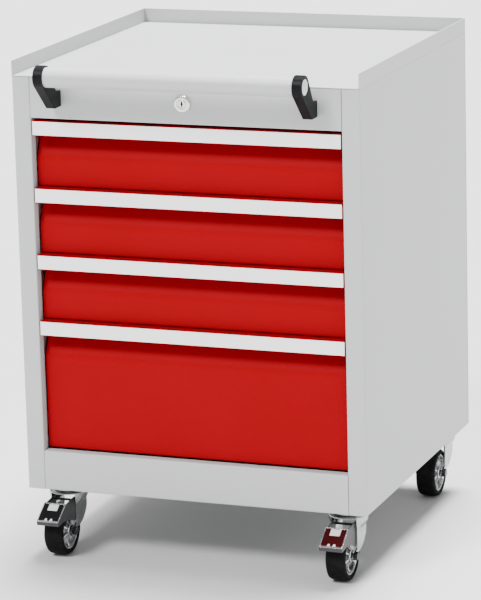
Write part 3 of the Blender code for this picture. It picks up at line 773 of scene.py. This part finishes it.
# %% [markdown]
# ## Grip strips
# The strip on each drawer's upper edge is a drawn profile: two raised lips and a flat field
# between them, where a label can slide in. A bevelled box would miss the two bright lines that
# the lips draw along the whole drawer.

# %% Grip strips
LIP = 1.6 * MM
LIP_FOOT = 1.3 * LIP
FIELD_DEPTH = 0.45 * MM


def grip_strip(number):
    node = f"drawer_{number}_handle_strip"
    low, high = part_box(node)
    front, back = low.y, high.y
    field = front + FIELD_DEPTH
    outline = [(back, low.z), (front, low.z), (front, low.z + LIP), (field, low.z + LIP_FOOT),
               (field, high.z - LIP_FOOT), (front, high.z - LIP), (front, high.z), (back, high.z)]
    bm = bmesh.new()
    prism(bm, outline, along_x, low.x, high.x)
    install(new_object(node + "_profile", bm), STRIP, BODY_OF[node], [node], 0.25 * MM)


for number in DRAWERS:
    grip_strip(number)
    refined(f"drawer_{number}_pan", GREY_COAT, 0.3 * MM, 2)

# %% [markdown]
# ## Slides and lock bar
# The runner panels, the slides' members and the lock bar are galvanised sheet. Their solids
# already have the right section, so they keep their shape and only get the crystal pattern.

# %% Galvanised parts
def dress(node, material):
    """Gives a CAD node that keeps its shape a finish."""
    for slot in frame["nodes"][node].material_slots:
        slot.material = material
    print(node, "gets", material.name)


for node in ("left_runner_panel", "right_runner_panel", "lock_bar", "lock_cam"):
    dress(node, GALVANISED)
for number in DRAWERS:
    for word in ("left", "right"):
        dress(f"drawer_{number}_{word}_slide_member", GALVANISED)

# %% [markdown]
# ## Push handle
# A painted tube runs through two moulded black brackets. Each bracket is a ring that flows into
# a foot on the fascia, so its outline is an arc and two tangents to it. The tube is turned, with
# softened ends. A pale plug closes each end, and a black ring of the bracket goes round it.

# %% Push handle
TUBE_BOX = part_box("push_handle_tube")
TUBE_CENTRE = (TUBE_BOX[0] + TUBE_BOX[1]) / 2
TUBE_RADIUS = (TUBE_BOX[1].z - TUBE_BOX[0].z) / 2
TUBE_WALL = 1.5 * MM
RING_RADIUS = 17 * MM
CAP_RADIUS = 11.4 * MM
CAP_FLANGE = 1.5 * MM
CAP_RELIEF = 0.5 * MM
RING_PROUD = 0.2 * MM
FOOT = {"bottom": 686 * MM, "top": 709.5 * MM, "front": 22 * MM, "neck": 16 * MM}


def round_tube(u, v, w):
    return (w, TUBE_CENTRE.y + u, TUBE_CENTRE.z + v)


def tube():
    end, bore, soft = TUBE_BOX[1].x, TUBE_RADIUS - TUBE_WALL, 0.4 * MM
    half = [(bore, -end), (TUBE_RADIUS - soft, -end), (TUBE_RADIUS, soft - end)]
    item = turned_object("push_handle_tube_round", half + [(r, -x) for r, x in half[::-1]],
                         round_tube, 96, ring=True)
    install(item, GREY_COAT, BODY_OF["push_handle_tube"], ["push_handle_tube"])


def tangent(point, radius, sense):
    """The angle, in degrees, at which a line from a point touches a circle round (0, 0)."""
    spread = math.acos(radius / math.hypot(*point))
    return math.degrees(math.atan2(point[1], point[0]) + sense * spread)


def bracket(word):
    node = word + "_handle_bracket"
    low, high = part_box(node)
    local = lambda y, z: (y - TUBE_CENTRE.y, z - TUBE_CENTRE.z)
    foot_front = local(FACE_Y - FOOT["front"], FOOT["bottom"])
    neck = local(FACE_Y - FOOT["neck"], FOOT["top"] + 1 * MM)
    back = high.y
    outline = [local(back, FOOT["top"]), neck]
    outline += arc((0, 0), RING_RADIUS, tangent(neck, RING_RADIUS, 1),
                   tangent(foot_front, RING_RADIUS, -1) + 360, 72)
    outline += [foot_front, local(back, FOOT["bottom"])]
    bm = bmesh.new()
    prism(bm, outline, round_tube, low.x, high.x)
    item = new_object(node + "_moulded", bm)
    cut_hole(item, lambda cutter: prism(cutter, arc((0, 0), TUBE_RADIUS + 0.2 * MM, 0, 356, 89),
                                        round_tube, low.x - CUT_MARGIN, high.x + CUT_MARGIN))
    install(item, BLACK_PLASTIC, BODY_OF[node], [node], 0.7 * MM)


def end_cap(side, word):
    """A pale plug, and the bracket's black ring round it."""
    node = word + "_handle_end_cap"
    low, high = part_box(node)
    outer, inner = (high.x, low.x) if side > 0 else (low.x, high.x)
    flange = outer - side * CAP_FLANGE
    dish, proud = outer - side * CAP_RELIEF, outer - side * RING_PROUD
    plug = [(CAP_RADIUS, inner), (CAP_RADIUS, flange), (CAP_RADIUS, outer - side * 0.4 * MM),
            (CAP_RADIUS - 0.5 * MM, outer), (CAP_RADIUS - 2.6 * MM, outer),
            (CAP_RADIUS - 3.1 * MM, dish), (2 * MM, dish)]
    item = turned_object(node + "_turned", plug, round_tube, 72)
    install(item, PALE_PLASTIC, BODY_OF[node], [node], 0.0, 50)
    bore, seat = CAP_RADIUS + 0.2 * MM, flange + side * 0.1 * MM
    ring = [(bore, seat), (RING_RADIUS - 1.0 * MM, seat), (RING_RADIUS - 1.2 * MM, dish),
            (RING_RADIUS - 1.8 * MM, proud), (bore, proud)]
    item = turned_object(word + "_bracket_ring", ring, round_tube, 72, ring=True)
    install(item, BLACK_PLASTIC, BODY_OF[node], [], 0.0, 50)


tube()
for side, word in ((-1, "left"), (1, "right")):
    bracket(word)
    end_cap(side, word)
print("tube diameter, mm:", round(2 * TUBE_RADIUS / MM, 1))

# %% [markdown]
# ## Lock
# A nickel-plated ring with a stepped face stands on the fascia, and the plug in it has the
# keyway. Both are turned from their profiles. The keyway is a Boolean cut with a ward on each
# side. A second, slightly smaller piece of the same outline fills it in black plastic, as
# painted shade for the keyway's dark depth.

# %% Lock
KEYWAY_DEPTH = 9 * MM


def lock_housing():
    face, seat, end = LOCK_BOX[0].y, FACE_Y - 0.3 * MM, LOCK_BOX[1].y
    profile = [(6.3, face + 0.9 * MM), (7.4, face + 0.9 * MM), (8.0, face), (10.6, face),
               (11.8, face + 0.5 * MM), (12.5, face + 1.6 * MM), (12.5, seat), (9.0, seat),
               (9.0, end), (6.3, end)]
    item = turned_object("lock_housing_turned", [(radius * MM, y) for radius, y in profile],
                         lock_place, 72, ring=True)
    install(item, NICKEL, BODY_OF["lock_housing"], ["lock_housing"], 0.0, 40)


def keyway(grow):
    """The keyway's outline, with a ward on each side, grown by a margin."""
    half, top, ward = 0.95 * MM + grow, 4.2 * MM + grow, 2.0 * MM + grow
    return [(-half, -top), (half, -top), (half, -1.3 * MM), (ward, -0.8 * MM),
            (ward, 0.8 * MM), (half, 1.3 * MM), (half, top), (-half, top),
            (-half, 1.3 * MM), (-ward, 0.8 * MM), (-ward, -0.8 * MM), (-half, -1.3 * MM)]


def lock_plug():
    low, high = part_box("lock_plug")
    face = low.y + 0.4 * MM
    profile = [(5.2, face), (6.0, face + 0.5 * MM), (6.0, high.y)]
    item = turned_object("lock_plug_turned", [(radius * MM, y) for radius, y in profile],
                         lock_place, 72)
    cut_hole(item, lambda cutter: prism(cutter, keyway(0.0), lock_place, face - 2 * MM,
                                        face + KEYWAY_DEPTH))
    install(item, NICKEL, BODY_OF["lock_plug"], ["lock_plug"], 0.12 * MM, 40)
    bm = bmesh.new()
    # The black fill is painted shade for the dark depth of the keyway.
    prism(bm, keyway(-0.08 * MM), lock_place, face + 0.7 * MM, face + KEYWAY_DEPTH - 0.2 * MM)
    install(new_object("lock_pins", bm), BLACK_PLASTIC, BODY_OF["lock_plug"], [])


lock_housing()
lock_plug()
print("lock centre, mm:", [round(v / MM, 1) for v in LOCK_CENTRE])

# %% [markdown]
# ## Repeating a small part
# Ribs in a wheel, bolts round a plate and bumps on a pedal all repeat by one step of turning
# and moving. Copying by hand goes wrong as soon as a count changes. This second tree takes one
# piece, a count, a turn and a move, puts an instance on each point, and realizes them, so the
# result is ordinary mesh.

# %% The repeat tree
def repeat_tree():
    """Repeats a piece by a step of turning about a centre and a step of moving."""
    tree, graph, given = new_tree("repeat_part", "Row", Part="Geometry", Count="Int",
                                  Step_Turn="Vector", Step_Move="Vector", Centre="Vector",
                                  Finish="Material")
    number = graph.add("GeometryNodeInputIndex")

    def steps(step):
        return graph.add("ShaderNodeVectorMath", {"operation": "SCALE"},
                         {0: given.output(step), "Scale": number})
    place = graph.add("ShaderNodeVectorMath", {"operation": "ADD"},
                      {0: steps("Step Move"), 1: given.output("Centre")})
    points = graph.add("GeometryNodePoints", {}, {"Count": given.output("Count"),
                                                  "Position": place})
    row = graph.add("GeometryNodeInstanceOnPoints", {}, {"Points": points, "Instance": given,
                                                         "Rotation": steps("Step Turn")})
    end_tree(graph, row, given, "Row")
    return tree


REPEAT_PART = repeat_tree()


def repeated(name, build, count, centre, turn=(0, 0, 0), move=(0, 0, 0), material=None):
    """One part, built round the origin, repeated into a row or a ring."""
    bm = bmesh.new()
    build(bm)
    part = new_object(name + "_one", bm)
    turn = tuple(math.radians(angle) for angle in turn)
    return run_tree(name, REPEAT_PART, part, count=count, centre=tuple(centre), step_turn=turn,
                    step_move=move, finish=material)


print("inputs of repeat_part:", [item.name for item in REPEAT_PART.interface.items_tree])

# %% [markdown]
# ## Castor wheels
# The wheel is a cast hub with a black tyre. Both are turned from a profile, the tyre with round
# shoulders and a shallow groove in its side wall. The hub gets six ribs on each side from the
# repeat tree, because the pockets between them are what makes it look cast.

# %% Tyres and hubs
TRAIL = 30 * MM
RIB_COUNT = 6


def wheel_place(centre):
    return lambda u, v, w: (centre.x + w, centre.y + u, centre.z + v)


def mirrored(profile):
    """A profile of (radius, offset) points in millimetres, closed by its mirror image."""
    half = [(radius * MM, offset * MM) for radius, offset in profile]
    return half + [(radius, -offset) for radius, offset in half[::-1]]


def tyre(name, centre):
    profile = mirrored([(29.6, -14.9), (31.2, -14.9), (31.6, -14.4), (32.4, -14.4),
                        (32.8, -14.9), (34.2, -14.6), (35.6, -13.6), (36.5, -12.0),
                        (37.1, -9.0), (37.4, -5.0), (37.5, -1.5)])
    item = turned_object(name + "_tyre_round", profile, wheel_place(centre), 96, ring=True)
    install(item, RUBBER, name + "_wheel", [name + "_tyre"], 0.0, 50)


def hub_rib(side):
    """A radial web, standing on the disc and falling from the boss to the rim."""
    def build(bm):
        outline = [(9.0, 1.5), (9.0, 12.5), (13.0, 10.0), (20.0, 8.6), (25.8, 10.8), (25.8, 1.5)]
        radial = lambda u, v, w: (side * v * MM, w, u * MM)
        prism(bm, outline, radial, -1.3 * MM, 1.3 * MM)
    return build


def hub(name, centre):
    profile = mirrored([(4.5, -14.8), (8.6, -14.8), (9.5, -14.0), (10.0, -4.4), (11.4, -3.0),
                        (23.4, -3.0), (24.8, -4.4), (25.8, -12.6), (26.8, -13.5), (28.6, -13.5),
                        (29.2, -12.9)])
    item = turned_object(name + "_hub_round", profile, wheel_place(centre), 72, ring=True)
    install(item, ALUMINIUM, name + "_wheel", [name + "_hub"], 0.0, 40)
    for side, word in ((-1, "left"), (1, "right")):
        ribs = repeated(f"{name}_hub_ribs_{word}", hub_rib(side), RIB_COUNT, centre,
                        turn=(360 / RIB_COUNT, 0, 0), material=ALUMINIUM)
        install(ribs, ALUMINIUM, name + "_wheel", [], 0.5 * MM)


CASTORS = [f"castor_{row}_{side}" for row in ("front", "rear") for side in ("left", "right")]
KINGPINS = {}
for name in CASTORS:
    low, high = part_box(name + "_tyre")
    axle = (low + high) / 2
    KINGPINS[name] = Vector((axle.x, axle.y + TRAIL, 0))
    tyre(name, axle)
    hub(name, axle)
print("kingpins, mm:", {name: [round(v / MM) for v in place] for name, place in KINGPINS.items()})

# %% [markdown]
# ## Castor forks
# The fork is pressed from one blank: a round cup about the ball race flows down into two flat
# legs. A box or two plates would show a hard joint there. Here each level of the wall is a row
# of points, an arc of the cup at the top and a straight line along the leg at the bottom, mixed
# smoothly in between, and Solidify gives the sheet its thickness inwards.

# %% Forks and axles
CUP_RADIUS = 29 * MM
CUP_OPENING = 42                # degrees from straight ahead
CUP_FOOT = 80 * MM
CROWN = 93.5 * MM
SHOULDER = 2.6 * MM
LEG_X = 19.4 * MM
LEG_SHEET = 2.4 * MM
LEG_HALF = 21.5 * MM
LEG_TOP = 70 * MM
HEEL_TOP = 68 * MM
HEEL_DROP = 30 * MM
HEEL_REACH = 44 * MM
EYE_TOP = 46 * MM
EYE_RADIUS = 9.5 * MM
AXLE_HEIGHT = 37.5 * MM


def smooth(value, start, end):
    """0 before the start, 1 after the end and an even slope between them."""
    t = min(1.0, max(0.0, (value - start) / (end - start)))
    return t * t * (3 - 2 * t)


def leg_limits(z):
    """The front and the rear edge of the leg at a level, measured from the kingpin."""
    front = -LEG_HALF + smooth(CROWN - z, 0, 12 * MM) * 3 * MM
    rear = LEG_HALF
    if z < HEEL_TOP:
        heel = math.sqrt(max(0.0, 1 - ((HEEL_TOP - z) / HEEL_DROP) ** 2))
        rear = rear - (1 - heel) * HEEL_REACH
    if z < EYE_TOP:
        reach = math.sqrt(max(0.0, EYE_RADIUS ** 2 - (AXLE_HEIGHT - z) ** 2))
        front = front + (-TRAIL - reach - front) * smooth(EYE_TOP - z, 0, 8 * MM)
        rear = rear + (-TRAIL + reach - rear) * smooth(EYE_TOP - 3 * MM - z, 0, 12 * MM)
    return front, rear


def on_cup(angle):
    """A point of the cup's wall, its angle in degrees from straight ahead."""
    turn = math.radians(angle)
    return Vector((CUP_RADIUS * math.sin(turn), -CUP_RADIUS * math.cos(turn)))


def wall_row(z, columns):
    """Points along the cup and the leg at one level, from the front to the rear."""
    round_share = smooth(z, LEG_TOP, CUP_FOOT + 6 * MM)
    front, rear = leg_limits(z)
    row = []
    for share in (i / columns for i in range(columns + 1)):
        flat = Vector((LEG_X, front + (rear - front) * share))
        row.append(flat.lerp(on_cup(CUP_OPENING + (180 - 2 * CUP_OPENING) * share), round_share))
    return row


def join_rows(bm, rows):
    for upper, lower in zip(rows, rows[1:]):
        for i in range(len(upper) - 1):
            bm.faces.new((upper[i], upper[i + 1], lower[i + 1], lower[i]))


def fork_surface(bm, kingpin):
    """Both legs with their sides of the cup, and the cup's back between them."""
    columns, closing, cup_rows, leg_rows = 20, 10, 6, 20
    top = CROWN - SHOULDER
    cup = [top - i * (top - CUP_FOOT) / cup_rows for i in range(cup_rows + 1)]
    legs = [CUP_FOOT - i * (CUP_FOOT - EYE_TOP) / leg_rows for i in range(1, leg_rows + 1)]
    eyes = [AXLE_HEIGHT + EYE_RADIUS * math.cos(math.radians(a)) - 1 * MM * (1 - a / 170)
            for a in range(30, 171, 10)]

    def row(points, z, side=1):
        return [bm.verts.new((kingpin.x + side * p.x, kingpin.y + p.y, z)) for p in points]
    for side in (-1, 1):
        join_rows(bm, [row(wall_row(z, columns), z, side) for z in cup + legs + eyes])
    step = 2 * CUP_OPENING / closing
    back = [on_cup(180 - CUP_OPENING + step * i) for i in range(closing + 1)]
    join_rows(bm, [row(back, z) for z in cup])


def crown(name, kingpin):
    """The cup's flat roof with a rounded shoulder and a hole for the kingpin."""
    low, hole = CROWN - LEG_SHEET, 6.6 * MM
    shoulder = [(CUP_RADIUS - SHOULDER + r, CROWN - SHOULDER + h)
                for h, r in arc((0, 0), SHOULDER, 0, 90, 6)]
    inside = [(CUP_RADIUS - LEG_SHEET, low - 0.2 * MM)]
    place = lambda u, v, w: (kingpin.x + u, kingpin.y + v, w)
    profile = [(hole, low), (hole, CROWN)] + shoulder + inside
    return turned_object(name, profile, place, 72, ring=True)


def fork(name, kingpin):
    node = name + "_fork"
    bm = bmesh.new()
    fork_surface(bm, kingpin)
    wall = new_object(node + "_wall", bm)
    print(node, "outside, mm", thicken(wall, LEG_SHEET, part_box(node)))
    install(wall, ZINC, name + "_swivel", [node], 0.4 * MM, 50)
    install(crown(node + "_crown", kingpin), ZINC, name + "_swivel", [], 0.0, 40)


def axle(name, centre):
    node = name + "_axle"
    half = (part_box(node)[1].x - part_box(node)[0].x) / 2
    face = LEG_X + 0.3 * MM
    place = wheel_place(centre)
    bm = bmesh.new()
    turned(bm, [(4 * MM, -face - 0.5 * MM), (4 * MM, face + 0.5 * MM)], place, 32)
    for side in (-1, 1):
        ends = sorted((side * face, side * half))
        prism(bm, arc((0, 0), 6.6 * MM, 15, 315, 5), place, *ends)
    install(new_object(node + "_bolt", bm), BURNISHED, name + "_swivel", [node], 0.5 * MM)


for name in CASTORS:
    fork(name, KINGPINS[name])
    axle(name, KINGPINS[name] + Vector((0, -TRAIL, AXLE_HEIGHT)))

# %% [markdown]
# ## Castor plates
# A square plate with round corners carries the ball race, and four button-headed bolts hold it
# to the floor of the cabinet. The plate's solid has the right shape and only gets soft edges;
# the repeat tree sets the bolts round the kingpin.

# %% Plates and bolts
PLATE_SHEET = 2.5 * MM
BOLT_REACH = 22.5 * MM
BOLT_SINK = 0.1 * MM


def button_head(bm):
    profile = [(4.6 * MM, 0), (4.6 * MM, -0.8 * MM), (3.9 * MM, -2.0 * MM), (2.6 * MM, -2.7 * MM)]
    turned(bm, profile, along_z, 24)


def plate_bolt(bm):
    """A bolt in the plate's first corner; the tree turns it into the other three."""
    button_head(bm)
    bmesh.ops.translate(bm, vec=(BOLT_REACH, BOLT_REACH, 0), verts=bm.verts)


for name in CASTORS:
    refined(name + "_plate", ZINC, 0.4 * MM, 2, 40)
    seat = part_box(name + "_plate")[1].z - PLATE_SHEET + BOLT_SINK
    bolts = repeated(name + "_plate_bolts", plate_bolt, 4, (*KINGPINS[name].xy, seat),
                     turn=(0, 0, 90), material=ZINC)
    install(bolts, ZINC, BODY_OF[name + "_plate"], [], 0.0, 40)
print("bolt heads' seat, mm:", round(seat / MM, 3))

# %% [markdown]
# ## Brake pedals
# Each front castor has a foot pedal: a sloping plate with a coloured pad sunk into a bright
# rim, a pale lug at its upper edge, two small bumps at the lower edge, and grey cheeks that
# reach back to the pivot. The pad is black on one castor and dark red on the other; that dark
# red is painted light, how the pad was lit copied into its colour. Everything is laid out in
# the plate's own slope, so the parts are drawn flat and then set on it.

# %% Pedals
PEDAL_FRONT = Vector((-52.5, 64.0)) * MM
PEDAL_REAR = Vector((-21.5, 84.0)) * MM
PEDAL_HALF = 17.5               # these are millimetres on the pedal itself
PEDAL_BAR = 1.7
PAD_DEPTH = 1.9
BUMP = [(-2.6, 0.0), (2.6, 0.0), (1.2, 5.0), (-1.2, 5.0)]
BUMP_PITCH = 8.4
PEDAL_LIFT = 1.0 * MM           # the rim stands this far above the plate


def pedal_place(kingpin):
    """Across the pedal, up its slope and out of its face, as a point in space."""
    along = (PEDAL_REAR - PEDAL_FRONT).normalized()
    out = Vector((-along.y, along.x))

    def place(u, v, w):
        foot = PEDAL_FRONT + along * v * MM + out * (w * MM + PEDAL_LIFT)
        return (kingpin.x + u * MM, kingpin.y - TRAIL + foot.x, foot.y)
    return place


def pedal(name, kingpin, pad_finish):
    node = name + "_brake_pedal"
    length = (PEDAL_REAR - PEDAL_FRONT).length / MM
    place = pedal_place(kingpin)
    half, inner = PEDAL_HALF, PEDAL_HALF - PEDAL_BAR
    pad = [((-inner, 1.0, -PAD_DEPTH), (inner, length - 0.6, -0.55))]
    rim = [((-half, 0, -1.0), (-inner, length, 0)), ((inner, 0, -1.0), (half, length, 0)),
           ((-inner, 0, -PAD_DEPTH), (inner, 2.6, 0)),
           ((-inner, length - 1.3, -PAD_DEPTH), (inner, length, 0))]
    lug = [((-8.0, length - 14.5, -1.0), (7.5, length - 2.4, 0.0))]
    for word, blocks, material, edge in (("pad", pad, pad_finish, 0.2), ("rim", rim, ZINC, 0.25),
                                         ("lug", lug, PALE_PLASTIC, 0.9)):
        bm = bmesh.new()
        for low, high in blocks:
            block(bm, low, high, place)
        install(new_object(f"{node}_{word}", bm), material, BODY_OF[node], [],
                edge * MM)
    origin = Vector(place(0, 0, 0))
    bumps = repeated(node + "_bumps", lambda bm: prism(
        bm, BUMP, lambda u, v, w: Vector(place(u, v, w)) - origin, -1.0, -0.1), 2,
        place(-BUMP_PITCH / 2, 1.8, 0), move=(BUMP_PITCH * MM, 0, 0), material=PALE_PLASTIC)
    install(bumps, PALE_PLASTIC, BODY_OF[node], [], 0.3 * MM)


# The right castor's pad gets the dark red of painted light; the left one is black.
for name, pad_finish in (("castor_front_left", BLACK_PLASTIC),
                         ("castor_front_right", PAD_RED_PAINTED_LIGHT)):
    refined(name + "_brake_pedal", DARK_STEEL, 0.3 * MM, 2, 40)
    pedal(name, KINGPINS[name], pad_finish)
